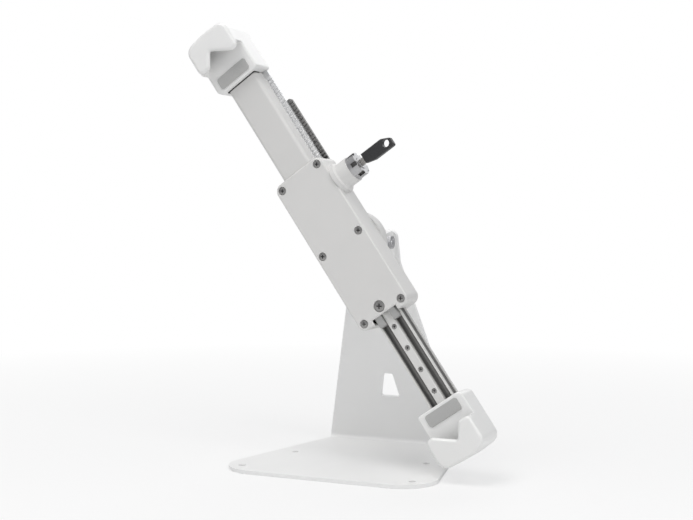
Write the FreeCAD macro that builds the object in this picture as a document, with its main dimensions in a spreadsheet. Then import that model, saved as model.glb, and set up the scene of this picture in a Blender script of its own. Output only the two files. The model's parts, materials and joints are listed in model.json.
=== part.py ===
import FreeCAD
import Part
import Sketcher
import math
import os
from FreeCAD import Placement, Rotation, Vector

# Driving dimensions, in millimetres and degrees
SIZES = {
    # Bent sheet that is both the base and the upright
    "sheet_thick": 3.0,
    "base_front": 80.0,
    "base_front_half": 92.0,
    "base_corner": 28.0,
    "bend_back": 81.8,
    "bend_half": 60.4,
    "bend_radius": 6.0,
    "upright_lean": 15.9,
    "upright_length": 192.3,
    "head_start": 165.0,
    "head_half": 21.5,
    "head_corner": 6.0,
    "foot_hole_radius": 2.75,
    "front_holes_half": 70.9,
    "front_holes_ahead": 63.7,
    "rear_holes_half": 57.5,
    "hole_rows_gap": 65.0,
    "window_low": 45.2,
    "window_high": 66.1,
    "window_low_half": 8.5,
    "window_high_half": 4.1,
    # Tilt hinge between the upright and the swivel plate
    "pivot_height": 175.6,
    "clevis_reach": 13.65,
    "clevis_thick": 3.0,
    "clevis_drop": 16.0,
    "clevis_rise": 5.6,
    "ear_thick": 3.5,
    "eye_radius": 7.5,
    "bolt_radius": 3.0,
    "hinge_head_thick": 4.0,
    "running_play": 0.05,
    "washer_thick": 1.0,
    "washer_radius": 6.4,
    "nut_flats": 10.0,
    "nut_thick": 5.0,
    "clevis_screw_half": 8.0,
    "clevis_screw_drop": 10.5,
    "clevis_screw_head": 3.8,
    "clevis_screw_head_thick": 2.2,
    # Swivel plate and its bolt
    "lug_inner": 7.5,
    "lug_thick": 6.0,
    "plate_radius": 23.0,
    "plate_thick": 3.5,
    "friction_disc_radius": 22.0,
    "friction_disc_thick": 0.75,
    "bolt_tip": 0.35,
    "bolt_head_thick": 4.0,
    # Holder housing, lying along the arms
    "arm_lean": 34.5,
    "housing_half_width": 23.65,
    "housing_half_length": 67.5,
    "housing_corner": 6.5,
    "housing_depth": 26.0,
    "housing_wall": 1.8,
    "housing_chamfer": 2.2,
    "inner_corner_cut": 3.0,
    "cover_thick": 2.2,
    "cover_chamfer": 0.9,
    "cover_notch_half": 11.5,
    "cover_notch_depth": 4.0,
    "boss_radius": 25.0,
    "boss_height": 10.5,
    "boss_floor": 6.5,
    "boss_chamfer": 1.0,
    "boss_pocket_radius": 9.0,
    "screw_across": 18.25,
    "screw_along": 62.0,
    "screw_head_radius": 3.0,
    "screw_head_thick": 1.3,
    "screw_head_sink": 0.2,
    "screw_post_half": 3.4,
    "screw_post_depth": 9.0,
    "screw_play": 0.1,
    "clamp_screw_along": 57.4,
    "clamp_head_radius": 4.25,
    # Sliding arms
    "channel_half": 14.0,
    "channel_front": 2.5,
    "channel_back": 16.3,
    "channel_wall": 1.8,
    "channel_rounding": 3.0,
    "channel_tail": 5.7,
    "slide_gap": 0.3,
    "rail_half": 10.9,
    "rail_front_gap": 0.3,
    "rail_back": 14.1,
    "rail_tail": 10.7,
    "rib_half": 3.5,
    "groove_floor": 10.0,
    "flange_thick": 1.2,
    "flange_drop": 1.2,
    "backbone_thick": 2.0,
    "rail_screw_start": 76.3,
    "rail_screw_pitch": 19.1,
    "rail_screw_head": 2.0,
    "shoe_out": 4.5,
    "shoe_in": 7.5,
    "shoe_side_gap": 0.35,
    # Toothed racks
    "rack_thick": 2.6,
    "rack_width": 4.8,
    "upper_rack_inner": 13.6,
    "upper_rack_front": 16.9,
    "upper_rack_tail": 20.0,
    "lower_rack_inner": 16.8,
    "lower_rack_front": 21.3,
    "lower_rack_top": 125.7,
    "lower_rack_foot": 45.0,
    "foot_height": 20.0,
    "foot_reach": 8.0,
    "spacer_half": 7.5,
    "tooth_pitch": 3.2,
    "tooth_depth": 1.0,
    "tooth_crest": 0.64,
    # Corner clips, drawn about the middle of the tablet that they hold
    "tablet_half_width": 110.3,
    "tablet_half_height": 152.85,
    "tablet_thick": 6.9,
    "tablet_offset": 5.7,
    "tablet_ahead": 3.6,
    "tablet_play": 0.3,
    "clip_half": 20.6,
    "clip_start": 149.5,
    "clip_end": 193.6,
    "clip_bulge": 1.6,
    "clip_back": 21.5,
    "clip_edge": 1.6,
    "clip_inner_corner": 5.0,
    "lip_thick": 3.6,
    "lip_start": 168.4,
    "lip_overlap": 6.2,
    "lip_gap": 1.1,
    "pad_thick": 1.5,
    "floor_gap": 1.0,
    "floor_pad_thick": 0.8,
    "floor_pad_half": 15.0,
    "edge_pad_long": 22.0,
    "edge_pad_short": 17.0,
    "socket_end": 172.0,
    "clip_cover_thick": 1.8,
    "clip_cover_half": 12.5,
    "clip_screw_half": 8.0,
    "clip_screw_at": 181.0,
    "rack_rebate": 1.2,
    # Key lock on the upper right side of the housing
    "lock_depth": 10.5,
    "lock_along": 43.9,
    "lock_boss_radius": 10.5,
    "lock_boss_end": 38.0,
    "lock_skirt_radius": 12.6,
    "lock_skirt_end": 28.6,
    "lock_skirt_slope": 1.4,
    "barrel_radius": 9.8,
    "barrel_end": 46.0,
    "plug_base": 26.0,
    "barrel_slot_width": 3.6,
    "barrel_slot_depth": 1.6,
    "barrel_slot_length": 5.0,
    "plug_radius": 5.0,
    "plug_proud": 0.4,
    "tail_half": 1.6,
    "cam_radius": 3.3,
    "cam_throw": 1.2,
    "cam_gap": 0.4,
    "pawl_half_length": 7.0,
    "pawl_window_half": 5.0,
    "pawl_wall": 1.4,
    "pawl_gap": 0.4,
    "pawl_guide_front": 4.0,
    "pawl_side_gap": 0.4,
    "key_thick": 2.0,
    "key_half_width": 2.6,
    "key_play": 0.15,
    "key_tip": 29.0,
    "key_head_start": 50.0,
    "key_head_end": 77.0,
    "key_head_half": 5.2,
    "key_head_thick": 5.2,
    "key_shoulder": 8.0,
    "key_head_cut": 7.0,
    "key_head_chamfer": 0.7,
    "key_ring_radius": 3.0,
    "key_ring_margin": 2.2,
}


class Size:
    """A length or angle with the sheet formula that gives it."""

    def __init__(self, value, text):
        self.value = value
        self.text = text

    def __add__(self, other):
        other = as_size(other)
        return Size(self.value + other.value, f"({self.text} + {other.text})")

    def __sub__(self, other):
        other = as_size(other)
        return Size(self.value - other.value, f"({self.text} - {other.text})")

    def __mul__(self, other):
        other = as_size(other)
        return Size(self.value * other.value, f"({self.text} * {other.text})")

    def __truediv__(self, other):
        other = as_size(other)
        return Size(self.value / other.value, f"({self.text} / {other.text})")

    def __radd__(self, other):
        return as_size(other) + self

    def __rsub__(self, other):
        return as_size(other) - self

    def __rmul__(self, other):
        return as_size(other) * self

    def __neg__(self):
        return Size(-self.value, f"(0 - {self.text})")


def as_size(number):
    """Let a plain number stand in a formula."""
    if isinstance(number, Size):
        return number
    return Size(float(number), f"({float(number)})")


def sine(angle):
    return Size(math.sin(math.radians(angle.value)), f"sin({angle.text})")


def cosine(angle):
    return Size(math.cos(math.radians(angle.value)), f"cos({angle.text})")


def tangent(angle):
    return Size(math.tan(math.radians(angle.value)), f"tan({angle.text})")


class Sheet:
    """The spreadsheet of driving dimensions, read as attributes."""

    def __init__(self, document):
        cells = document.addObject("Spreadsheet::Sheet", "Sizes")
        for row, (alias, value) in enumerate(SIZES.items(), start=1):
            cells.set(f"A{row}", alias)
            cells.set(f"B{row}", str(value))
            cells.setAlias(f"B{row}", alias)

    def __getattr__(self, alias):
        return Size(SIZES[alias], f"Sizes.{alias}")


doc = FreeCAD.newDocument("TabletHolder")
S = Sheet(doc)
doc.recompute()

SUB_PARTS = []


def bind(item, name, size):
    """Tie one property of a document object to the sheet."""
    item.setExpression(name, as_size(size).text)


def new_body(label):
    body = doc.addObject("PartDesign::Body", label)
    body.Label = label
    SUB_PARTS.append(body)
    return body


def base_plane(body, role):
    for feature in body.Origin.OriginFeatures:
        if feature.Role == role:
            return feature
    raise ValueError(f"{body.Label} has no {role}")


# Outlines

def corner_shape(before, here, after, radius):
    """Tangent points and arc of one rounded corner, as plain numbers."""
    to_before = (before - here).normalize()
    to_after = (after - here).normalize()
    half_angle = to_before.getAngle(to_after) / 2
    reach = radius / math.tan(half_angle)
    start = here + to_before * reach
    end = here + to_after * reach
    middle = (to_before + to_after).normalize()
    centre = here + middle * (radius / math.sin(half_angle))
    turns_left = (here - before).cross(after - here).z > 0
    return start, end, centre, turns_left


def arc_between(start, end, centre, turns_left):
    first, last = (start, end) if turns_left else (end, start)
    angle_first = math.atan2(first.y - centre.y, first.x - centre.x)
    angle_last = math.atan2(last.y - centre.y, last.x - centre.x)
    circle = Part.Circle(centre, Vector(0, 0, 1), (start - centre).Length)
    return Part.ArcOfCircle(circle, angle_first, angle_last)


def fix_point(sketch, geometry, position, x, y):
    """Hold a sketch point at x, y from the sketch's origin."""
    for kind, size in (("DistanceX", x), ("DistanceY", y)):
        size = as_size(size)
        index = sketch.addConstraint(Sketcher.Constraint(kind, -1, 1, geometry, position, size.value))
        sketch.setExpression(f"Constraints[{index}]", size.text)


def draw_circle(sketch, x, y, radius):
    x, y, radius = as_size(x), as_size(y), as_size(radius)
    centre = Vector(x.value, y.value, 0)
    circle = sketch.addGeometry(Part.Circle(centre, Vector(0, 0, 1), radius.value))
    fix_point(sketch, circle, 3, x, y)
    index = sketch.addConstraint(Sketcher.Constraint("Radius", circle, radius.value))
    sketch.setExpression(f"Constraints[{index}]", radius.text)


def draw_loop(sketch, corners):
    """Draw a closed loop of (x, y) or (x, y, radius) corners."""
    count = len(corners)
    points = [Vector(as_size(c[0]).value, as_size(c[1]).value, 0) for c in corners]
    starts, ends, arcs = [], [], []
    for i, corner in enumerate(corners):
        if len(corner) == 2:
            starts.append(points[i])
            ends.append(points[i])
            arcs.append(None)
            continue
        radius = as_size(corner[2])
        shape = corner_shape(points[i - 1], points[i], points[(i + 1) % count], radius.value)
        starts.append(shape[0])
        ends.append(shape[1])
        arcs.append((shape, radius))
    lines = []
    for i in range(count):
        line = Part.LineSegment(ends[i], starts[(i + 1) % count])
        lines.append(sketch.addGeometry(line))
    for i, corner in enumerate(corners):
        x, y = as_size(corner[0]), as_size(corner[1])
        before, after = lines[i - 1], lines[i]
        if arcs[i] is None:
            sketch.addConstraint(Sketcher.Constraint("Coincident", before, 2, after, 1))
            fix_point(sketch, after, 1, x, y)
            continue
        shape, radius = arcs[i]
        arc = sketch.addGeometry(arc_between(*shape))
        arc_start, arc_end = (1, 2) if shape[3] else (2, 1)
        mark = sketch.addGeometry(Part.Point(points[i]), True)
        fix_point(sketch, mark, 1, x, y)
        sketch.addConstraint([
            Sketcher.Constraint("PointOnObject", mark, 1, before),
            Sketcher.Constraint("PointOnObject", mark, 1, after),
            Sketcher.Constraint("Tangent", before, 2, arc, arc_start),
            Sketcher.Constraint("Tangent", arc, arc_end, after, 1),
        ])
        index = sketch.addConstraint(Sketcher.Constraint("Radius", arc, radius.value))
        sketch.setExpression(f"Constraints[{index}]", radius.text)


def circle(x, y, radius):
    return ("circle", x, y, radius)


def box_corners(x_low, y_low, x_high, y_high, radius=None):
    corners = [(x_low, y_low), (x_high, y_low), (x_high, y_high), (x_low, y_high)]
    if radius is None:
        return corners
    return [(x, y, radius) for x, y in corners]


def hexagon(x, y, flats):
    """Corners of a hexagon with its flats facing up and down."""
    reach = flats / math.sqrt(3)
    corners = []
    for step in range(6):
        angle = math.radians(60 * step)
        corners.append((x + reach * math.cos(angle), y + reach * math.sin(angle)))
    return corners


def many_sided(x, y, radius):
    """A light outline of a small round form, around a circle."""
    sides = 16
    reach = radius / math.cos(math.pi / sides)
    corners = []
    for step in range(sides):
        angle = 2 * math.pi * (step + 0.5) / sides
        corners.append((x + reach * math.cos(angle), y + reach * math.sin(angle)))
    return corners


def cut_corners(x_low, y_low, x_high, y_high, cut):
    """A rectangle with its corners cut off straight."""
    return [
        (x_low + cut, y_low), (x_high - cut, y_low), (x_high, y_low + cut), (x_high, y_high - cut),
        (x_high - cut, y_high), (x_low + cut, y_high), (x_low, y_high - cut), (x_low, y_low + cut),
    ]


# Features: a pad grows along the plane's own axis, towards plus

def new_sketch(body, name, role, at, loops):
    sketch = body.newObject("Sketcher::SketchObject", name)
    sketch.AttachmentSupport = [(base_plane(body, role), "")]
    sketch.MapMode = "FlatFace"
    at = as_size(at)
    offset = -at if role == "XZ_Plane" else at
    sketch.AttachmentOffset = Placement(Vector(0, 0, offset.value), Rotation())
    bind(sketch, "AttachmentOffset.Base.z", offset)
    for loop in loops:
        if loop[0] == "circle":
            draw_circle(sketch, *loop[1:])
        else:
            draw_loop(sketch, loop)
    return sketch


def pad(body, name, role, at, length, *loops):
    sketch = new_sketch(body, name + "Outline", role, at, loops)
    feature = body.newObject("PartDesign::Pad", name)
    feature.Profile = sketch
    bind(feature, "Length", length)
    feature.Reversed = role == "XZ_Plane"
    sketch.Visibility = False
    return feature


def pocket(body, name, role, at, depth, *loops):
    """Cut from the plane at a place, towards plus along its axis."""
    sketch = new_sketch(body, name + "Outline", role, at, loops)
    feature = body.newObject("PartDesign::Pocket", name)
    feature.Profile = sketch
    bind(feature, "Length", depth)
    feature.Reversed = role != "XZ_Plane"
    sketch.Visibility = False
    return feature


def revolve(body, name, role, at, axis_height, *loops):
    """Turn an outline about a line along the sketch's own X direction."""
    sketch = new_sketch(body, name + "Outline", role, at, loops)
    height = as_size(axis_height)
    line = Part.LineSegment(Vector(0, height.value, 0), Vector(1, height.value, 0))
    axis = sketch.addGeometry(line, True)
    fix_point(sketch, axis, 1, 0, height)
    fix_point(sketch, axis, 2, 1, height)
    feature = body.newObject("PartDesign::Revolution", name)
    feature.Profile = sketch
    doc.recompute()
    feature.ReferenceAxis = (sketch, ["Axis0"])
    feature.Angle = 360
    sketch.Visibility = False
    return feature


def chamfer(body, name, size, wanted):
    """Break the edges of the body's last feature that pass a test."""
    doc.recompute()
    tip = body.Tip
    names = [f"Edge{i}" for i, edge in enumerate(tip.Shape.Edges, start=1) if wanted(edge)]
    feature = body.newObject("PartDesign::Chamfer", name)
    feature.Base = (tip, names)
    bind(feature, "Size", size)
    return feature


def row_of(body, name, original, axis_role, pitch, count):
    """Repeat a feature in a straight row, towards plus."""
    doc.recompute()
    pattern = body.newObject("PartDesign::LinearPattern", name)
    pattern.Originals = [original]
    pattern.Direction = (base_plane(body, axis_role), [""])
    pattern.Occurrences = count
    bind(pattern, "Length", pitch * (count - 1))
    body.Tip = pattern
    return pattern


def ring_of(body, name, original, axis_role, count):
    """Repeat a feature around an axis of the body."""
    doc.recompute()
    pattern = body.newObject("PartDesign::PolarPattern", name)
    pattern.Originals = [original]
    pattern.Axis = (base_plane(body, axis_role), [""])
    pattern.Angle = 360
    pattern.Occurrences = count
    body.Tip = pattern
    return pattern


def lies_at(edge, axis, size):
    """True for an edge that stays at one height along an axis."""
    box = edge.BoundBox
    low, high = getattr(box, axis + "Min"), getattr(box, axis + "Max")
    return abs(low - size.value) < 1e-4 and abs(high - size.value) < 1e-4


# Derived places

# Front face of the upright at table level, and the tilt axis ahead of it
FACE_BACK = S.bend_back - S.sheet_thick / cosine(S.upright_lean)
TILT_BACK = (FACE_BACK - S.pivot_height * tangent(S.upright_lean)
             - S.clevis_reach / cosine(S.upright_lean))
# Depths behind the front face of the cover
BOSS_BACK = S.housing_depth + S.boss_height
DISC_BACK = BOSS_BACK + S.friction_disc_thick
PLATE_FRONT = DISC_BACK + S.running_play
PLATE_BACK = PLATE_FRONT + S.plate_thick
NUT_FRONT = PLATE_BACK + S.running_play + S.washer_thick
BOLT_END = NUT_FRONT + S.nut_thick + S.bolt_tip
TILT_DEPTH = BOLT_END + S.slide_gap + S.bolt_radius
COVER_BACK = TILT_BACK - TILT_DEPTH
# Clip depths, in the same direction, with the tablet in front of the cover
TABLET_FRONT = -(S.tablet_ahead + S.tablet_thick)
LIP_BACK = TABLET_FRONT - S.lip_gap
LIP_FRONT = LIP_BACK - S.lip_thick
FLOOR_FRONT = -S.tablet_ahead + S.floor_gap
CLIP_COVER_FRONT = S.clip_back - S.clip_cover_thick
# Sliding fits
CHANNEL_INNER = S.channel_half - S.channel_wall
RAIL_FRONT = S.channel_front + S.channel_wall + S.rail_front_gap
BACKBONE_HALF = CHANNEL_INNER - S.slide_gap
BACKBONE_BACK = S.rail_back + S.backbone_thick
UPPER_RACK_BACK = S.upper_rack_front + S.rack_thick
UPPER_RACK_OUTER = S.upper_rack_inner + S.rack_width
LOWER_RACK_OUTER = S.lower_rack_inner + S.rack_width
LOWER_RACK_BACK = S.lower_rack_front + S.rack_thick
SCREW_SINK = S.screw_head_thick + S.screw_head_sink
HOUSING_INNER = S.housing_half_width - S.housing_wall
PLUG_BORE = S.plug_radius + S.running_play
FLOOR_INNER = S.housing_depth - S.housing_wall
EAR_INNER = S.lug_inner + S.lug_thick + S.washer_thick + S.running_play * 2
# Cam on the lock's tail, in line with the middle of the pawl
CAM_START = S.channel_half + 1.0
CAM_LENGTH = HOUSING_INNER - S.pawl_side_gap - CAM_START
# Corner of the tablet, from its middle, across and along the arms
CORNER_ACROSS = (S.tablet_half_height * sine(S.arm_lean)
                 - S.tablet_half_width * cosine(S.arm_lean))
CORNER_OUT = (S.tablet_half_width * sine(S.arm_lean)
              + S.tablet_half_height * cosine(S.arm_lean))


# Frames

def in_level_frame(body):
    """Origin on the swivel axis at the cover's front face, standing level."""
    bind(body, "Placement.Base.y", COVER_BACK)
    bind(body, "Placement.Base.z", S.pivot_height)


def in_arm_frame(body):
    """As the level frame, with +Z along the arms towards the upper clip."""
    in_level_frame(body)
    body.Placement = Placement(Vector(), Rotation(Vector(0, -1, 0), S.arm_lean.value))
    bind(body, "Placement.Rotation.Angle", S.arm_lean)


def in_clip_frame(body, turned):
    """Origin at the middle of the tablet, with +Z towards one clip."""
    angle = S.arm_lean + (180 if turned else 0)
    body.Placement = Placement(Vector(), Rotation(Vector(0, -1, 0), angle.value))
    bind(body, "Placement.Base.x", -S.tablet_offset * sine(S.arm_lean))
    bind(body, "Placement.Base.y", COVER_BACK)
    bind(body, "Placement.Base.z", S.pivot_height + S.tablet_offset * cosine(S.arm_lean))
    bind(body, "Placement.Rotation.Angle", angle)


def in_upper_clip_frame(body):
    in_clip_frame(body, False)


def in_lower_clip_frame(body):
    in_clip_frame(body, True)


def in_tilt_frame(body):
    """Origin on the tilt axis, standing level."""
    bind(body, "Placement.Base.y", TILT_BACK)
    bind(body, "Placement.Base.z", S.pivot_height)


def in_lock_frame(body):
    """Origin on the lock's axis in the middle of the arms, +X outwards."""
    body.Placement = Placement(Vector(), Rotation(Vector(0, -1, 0), S.arm_lean.value))
    bind(body, "Placement.Base.x", -S.lock_along * sine(S.arm_lean))
    bind(body, "Placement.Base.y", COVER_BACK + S.lock_depth)
    bind(body, "Placement.Base.z", S.pivot_height + S.lock_along * cosine(S.arm_lean))
    bind(body, "Placement.Rotation.Angle", S.arm_lean)


def in_head_frame(body):
    """Origin on the tilt axis, with +Y square to the upright's head."""
    body.Placement = Placement(Vector(), Rotation(Vector(1, 0, 0), S.upright_lean.value))
    bind(body, "Placement.Base.y", TILT_BACK)
    bind(body, "Placement.Base.z", S.pivot_height)
    bind(body, "Placement.Rotation.Angle", S.upright_lean)


# Stand

def sheet_section():
    """Side view of the bent sheet, with the same bend inside and out."""
    lean = S.upright_lean
    top_back = FACE_BACK - S.upright_length * sine(lean)
    top_up = S.upright_length * cosine(lean)
    return [
        (-S.base_front, 0),
        (S.bend_back, 0, S.bend_radius),
        (top_back + S.sheet_thick * cosine(lean), top_up + S.sheet_thick * sine(lean)),
        (top_back, top_up),
        (FACE_BACK - S.sheet_thick * tangent(lean), S.sheet_thick, S.bend_radius - S.sheet_thick),
        (-S.base_front, S.sheet_thick),
    ]


def cut_upright(body, name, ahead, depth, *loops):
    """Cut square through the upright, from a plane ahead of its front."""
    feature = pocket(body, name, "XZ_Plane", 0, depth, *loops)
    sketch = feature.Profile[0]
    lean, ahead = S.upright_lean, as_size(ahead)
    sketch.AttachmentOffset = Placement(Vector(), Rotation(Vector(1, 0, 0), lean.value))
    bind(sketch, "AttachmentOffset.Base.y", -ahead * sine(lean))
    bind(sketch, "AttachmentOffset.Base.z", ahead * cosine(lean) - FACE_BACK)
    bind(sketch, "AttachmentOffset.Rotation.Angle", lean)
    return feature


def make_stand_frame():
    body = new_body("stand_frame")
    pad(body, "Sheet", "YZ_Plane", -S.base_front_half, S.base_front_half * 2, sheet_section())
    margin = S.sheet_thick * 4
    wide = S.base_front_half + margin
    bend_reach = S.bend_radius / tangent((90 - S.upright_lean) / 2)
    bend_start = S.bend_back - bend_reach
    far = S.bend_back + margin
    base_outline = [
        (-S.base_front_half, -S.base_front, S.base_corner),
        (S.base_front_half, -S.base_front, S.base_corner),
        (S.bend_half, bend_start),
        (S.bend_half, far),
        (-S.bend_half, far),
        (-S.bend_half, bend_start),
    ]
    around_base = box_corners(-wide, -S.base_front - margin, wide, far + margin)
    pocket(body, "BaseSides", "XY_Plane", -S.sheet_thick, bend_reach + S.sheet_thick,
           around_base, base_outline)
    taper_start = bend_reach - S.sheet_thick * tangent(S.upright_lean)
    above = S.upright_length + margin
    inward = S.head_half - S.head_corner * 2
    for side, name in ((-1, "UprightLeft"), (1, "UprightRight")):
        cut_upright(body, name, margin, margin * 2, [
            (side * wide, taper_start),
            (side * S.bend_half, taper_start),
            (side * S.head_half, S.head_start),
            (side * S.head_half, S.upright_length, S.head_corner),
            (side * inward, S.upright_length),
            (side * inward, above),
            (side * wide, above),
        ])
    cut_upright(body, "CableWindow", S.sheet_thick, S.sheet_thick * 3, [
        (-S.window_low_half, S.window_low, 1.5),
        (S.window_low_half, S.window_low, 1.5),
        (S.window_high_half, S.window_high, 1.5),
        (-S.window_high_half, S.window_high, 1.5),
    ])
    holes = []
    rear_row = S.hole_rows_gap - S.front_holes_ahead
    for side in (-1, 1):
        holes.append(circle(side * S.front_holes_half, -S.front_holes_ahead, S.foot_hole_radius))
        holes.append(circle(side * S.rear_holes_half, rear_row, S.foot_hole_radius))
    pocket(body, "FootHoles", "XY_Plane", -S.sheet_thick, S.sheet_thick * 3, *holes)


def make_tilt_clevis():
    body = new_body("tilt_clevis")
    in_head_frame(body)
    plate_front = S.clevis_reach - S.clevis_thick
    half = EAR_INNER + S.ear_thick
    pad(body, "Plate", "XZ_Plane", plate_front, S.clevis_thick, [
        (-half, -S.clevis_drop, 3),
        (half, -S.clevis_drop, 3),
        (half, S.clevis_rise),
        (-half, S.clevis_rise),
    ])
    for side, name in ((-1, "Left"), (1, "Right")):
        start = EAR_INNER if side > 0 else -half
        pad(body, name + "Eye", "YZ_Plane", start, S.ear_thick, circle(0, 0, S.eye_radius))
        pad(body, name + "Ear", "YZ_Plane", start, S.ear_thick, [
            (0, -S.eye_radius),
            (S.clevis_reach, -S.clevis_drop),
            (S.clevis_reach, S.clevis_rise),
            (0, S.eye_radius),
        ])
    pocket(body, "HingeBores", "YZ_Plane", -half, half * 2,
           many_sided(0, 0, S.bolt_radius + S.running_play))


def make_hinge_bolt():
    body = new_body("hinge_bolt")
    in_tilt_frame(body)
    ear_outer = EAR_INNER + S.ear_thick
    pad(body, "Head", "YZ_Plane", -ear_outer - S.hinge_head_thick, S.hinge_head_thick,
        hexagon(0, 0, S.nut_flats))
    pad(body, "Shank", "YZ_Plane", -ear_outer, ear_outer * 2 + S.nut_thick + S.bolt_tip,
        circle(0, 0, S.bolt_radius))


def make_hinge_nut():
    body = new_body("hinge_nut")
    in_tilt_frame(body)
    pad(body, "Nut", "YZ_Plane", EAR_INNER + S.ear_thick, S.nut_thick,
        hexagon(0, 0, S.nut_flats), many_sided(0, 0, S.bolt_radius + S.running_play))


def make_hinge_washers():
    body = new_body("hinge_friction_washers")
    in_tilt_frame(body)
    for start, name in ((-EAR_INNER, "Left"), (EAR_INNER - S.washer_thick, "Right")):
        pad(body, name, "YZ_Plane", start, S.washer_thick, many_sided(0, 0, S.washer_radius),
            many_sided(0, 0, S.bolt_radius + S.running_play))


# Swivel plate and the parts on the swivel bolt

def make_swivel_plate():
    body = new_body("swivel_plate")
    in_level_frame(body)
    pad(body, "Plate", "XZ_Plane", PLATE_FRONT, S.plate_thick, circle(0, 0, S.plate_radius))
    for side, name in ((-1, "Left"), (1, "Right")):
        start = S.lug_inner if side > 0 else -(S.lug_inner + S.lug_thick)
        pad(body, name + "Lug", "YZ_Plane", start, S.lug_thick, [
            (PLATE_FRONT + 1, -S.eye_radius),
            (TILT_DEPTH, -S.eye_radius),
            (TILT_DEPTH, S.eye_radius),
            (PLATE_FRONT + 1, S.eye_radius),
        ])
        pad(body, name + "Eye", "YZ_Plane", start, S.lug_thick,
            circle(TILT_DEPTH, 0, S.eye_radius))
    reach = S.lug_inner + S.lug_thick
    pocket(body, "HingeBores", "YZ_Plane", -reach, reach * 2,
           many_sided(TILT_DEPTH, 0, S.bolt_radius + S.running_play))
    pocket(body, "SwivelBore", "XZ_Plane", PLATE_FRONT, S.plate_thick,
           many_sided(0, 0, S.bolt_radius + S.running_play))


def make_swivel_bolt():
    body = new_body("swivel_bolt")
    in_level_frame(body)
    head_back = BOSS_BACK - S.boss_floor
    pad(body, "Head", "XZ_Plane", head_back - S.bolt_head_thick, S.bolt_head_thick,
        hexagon(0, 0, S.nut_flats))
    pad(body, "Shank", "XZ_Plane", head_back, BOLT_END - head_back, circle(0, 0, S.bolt_radius))


def make_swivel_stack():
    bore = many_sided(0, 0, S.bolt_radius + S.running_play)
    for label, start, thick, outline in (
        ("friction_disc", BOSS_BACK, S.friction_disc_thick, circle(0, 0, S.friction_disc_radius)),
        ("swivel_washer", PLATE_BACK + S.running_play, S.washer_thick,
         many_sided(0, 0, S.washer_radius)),
        ("swivel_nut", NUT_FRONT, S.nut_thick, hexagon(0, 0, S.nut_flats)),
    ):
        body = new_body(label)
        in_level_frame(body)
        pad(body, "Body", "XZ_Plane", start, thick, outline, bore)


# Housing

COVER_SCREWS = [(across, along) for across in (-1, 1) for along in (-1, 0, 1)]


def make_rear_housing():
    body = new_body("rear_housing")
    in_arm_frame(body)
    depth = S.housing_depth - S.cover_thick
    pad(body, "Tub", "XZ_Plane", S.cover_thick, depth, box_corners(
        -S.housing_half_width, -S.housing_half_length,
        S.housing_half_width, S.housing_half_length, S.housing_corner))
    chamfer(body, "BackEdges", S.housing_chamfer, lambda edge: lies_at(edge, "Y", S.housing_depth))
    inner_length = S.housing_half_length - S.housing_wall
    pocket(body, "Cavity", "XZ_Plane", S.cover_thick, FLOOR_INNER - S.cover_thick, cut_corners(
        -HOUSING_INNER, -inner_length, HOUSING_INNER, inner_length, S.inner_corner_cut))
    pad(body, "SwivelBoss", "XZ_Plane", FLOOR_INNER, BOSS_BACK - FLOOR_INNER,
        circle(0, 0, S.boss_radius))
    chamfer(body, "BossEdge", S.boss_chamfer, lambda edge: lies_at(edge, "Y", BOSS_BACK))
    pocket(body, "BoltPocket", "XZ_Plane", FLOOR_INNER, BOSS_BACK - S.boss_floor - FLOOR_INNER,
           many_sided(0, 0, S.boss_pocket_radius))
    pocket(body, "BoltHole", "XZ_Plane", BOSS_BACK - S.boss_floor, S.boss_floor,
           many_sided(0, 0, S.bolt_radius + S.running_play))
    for across, along in COVER_SCREWS:
        x, z = across * S.screw_across, along * S.screw_along
        near, wall = x - across * S.screw_post_half, across * (S.housing_half_width - 1)
        low, high = (near, wall) if across > 0 else (wall, near)
        pad(body, f"Post{across + 1}{along + 1}", "XZ_Plane", S.cover_thick,
            S.screw_post_depth - S.cover_thick,
            box_corners(low, z - S.screw_post_half, high, z + S.screw_post_half))
    rib_side = S.channel_half + S.slide_gap
    pad(body, "GuideRib", "XZ_Plane", S.cover_thick + 1, FLOOR_INNER - S.cover_thick, box_corners(
        -rib_side - S.housing_wall, -S.screw_along, -rib_side, S.screw_along))
    side = S.channel_half + S.slide_gap
    pocket(body, "UpperMouth", "XY_Plane", inner_length, S.housing_wall,
           box_corners(-side, S.cover_thick - 1, side, S.channel_back + S.slide_gap))
    pocket(body, "RackMouth", "XY_Plane", S.housing_half_length - S.housing_corner,
           S.housing_corner, box_corners(S.upper_rack_inner - S.slide_gap, S.channel_back,
                                         HOUSING_INNER, LOWER_RACK_BACK + S.slide_gap))
    side = BACKBONE_HALF + S.slide_gap
    pocket(body, "LowerMouth", "XY_Plane", -S.housing_half_length, S.housing_wall,
           box_corners(-side, S.cover_thick - 1, side, BACKBONE_BACK + S.slide_gap))
    revolve(body, "LockBoss", "XY_Plane", S.lock_along, S.lock_depth, [
        (S.housing_half_width, S.lock_depth),
        (S.lock_boss_end, S.lock_depth),
        (S.lock_boss_end, S.lock_depth + S.lock_boss_radius),
        (S.lock_skirt_end, S.lock_depth + S.lock_boss_radius),
        (S.lock_skirt_end - S.lock_skirt_slope, S.lock_depth + S.lock_skirt_radius),
        (S.housing_half_width, S.lock_depth + S.lock_skirt_radius),
    ])
    pocket(body, "LockBore", "YZ_Plane", HOUSING_INNER, S.lock_boss_end - HOUSING_INNER,
           many_sided(S.lock_depth, S.lock_along, PLUG_BORE))
    pawl_reach = S.pawl_half_length + S.slide_gap
    for side, name in ((-1, "PawlGuideLow"), (1, "PawlGuideHigh")):
        low = S.lock_along + side * pawl_reach - (S.housing_wall if side < 0 else 0)
        pad(body, name, "XZ_Plane", S.pawl_guide_front, S.channel_back - S.pawl_guide_front,
            box_corners(S.channel_half + 0.8, low, HOUSING_INNER + 0.5, low + S.housing_wall))


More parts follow.
